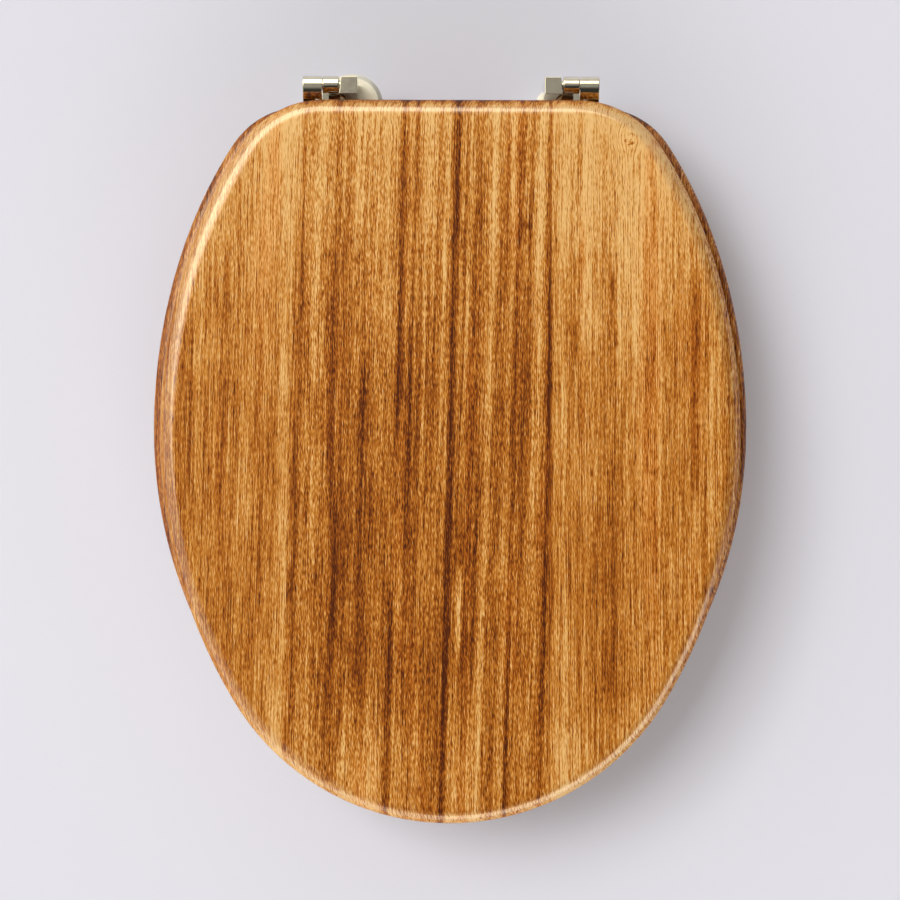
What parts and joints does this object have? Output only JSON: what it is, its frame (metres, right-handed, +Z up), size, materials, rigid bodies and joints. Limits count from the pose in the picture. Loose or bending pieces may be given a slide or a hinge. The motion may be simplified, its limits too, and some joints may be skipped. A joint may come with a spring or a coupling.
{
  "type": "toilet seat",
  "caption": "Wooden toilet seat: an oval lid over a ring with an egg-shaped opening, on plated hinges with eccentric discs and studs that clamp to the bowl.",
  "frame": {"origin": "midway between the two mounting studs, on the plane of the bowl's rim", "axes": "+X to the right seen from the front, +Y to the rear where the hinges are, +Z up out of the bowl"},
  "size_m": [0.375, 0.4737, 0.114],
  "materials": {
    "wood": "satin lacquer over striped golden-brown wood",
    "nickel": "polished nickel plate",
    "steel": "bright zinc-plated steel",
    "rubber": "matt black rubber",
    "buffer": "soft off-white plastic",
    "nylon": "natural nylon"
  },
  "bodies": {
    "hinge_mounts": {"hinge_post_left": "nickel", "hinge_post_right": "nickel", "base_disc_left": "nickel", "base_disc_right": "nickel", "base_gasket_left": "rubber", "base_gasket_right": "rubber", "hinge_pin_left": "steel", "hinge_pin_right": "steel", "mounting_stud_left": "steel", "mounting_stud_right": "steel", "cone_washer_left": "rubber", "cone_washer_right": "rubber", "flat_washer_left": "steel", "flat_washer_right": "steel", "wing_nut_left": "nylon", "wing_nut_right": "nylon"},
    "seat": {"seat_ring": "wood", "seat_buffer_front_left": "buffer", "seat_buffer_front_right": "buffer", "seat_buffer_rear_left": "buffer", "seat_buffer_rear_right": "buffer", "seat_arm_left": "nickel", "seat_arm_right": "nickel", "seat_arm_screws_left": "steel", "seat_arm_screws_right": "steel"},
    "lid": {"lid": "wood", "lid_buffer_left": "buffer", "lid_buffer_right": "buffer", "lid_arm_left": "nickel", "lid_arm_right": "nickel", "lid_arm_screws_left": "steel", "lid_arm_screws_right": "steel"}
  },
  "joints": [
    {"name": "seat_hinge", "type": "hinge", "parent": "hinge_mounts", "child": "seat", "pos_m": [0, 0.0038, 0.034], "axis": [-1, 0, 0], "range_deg": [0, 95]},
    {"name": "lid_hinge", "type": "hinge", "parent": "seat", "child": "lid", "pos_m": [0, 0.0038, 0.034], "axis": [-1, 0, 0], "range_deg": [0, 95]}
  ]
}
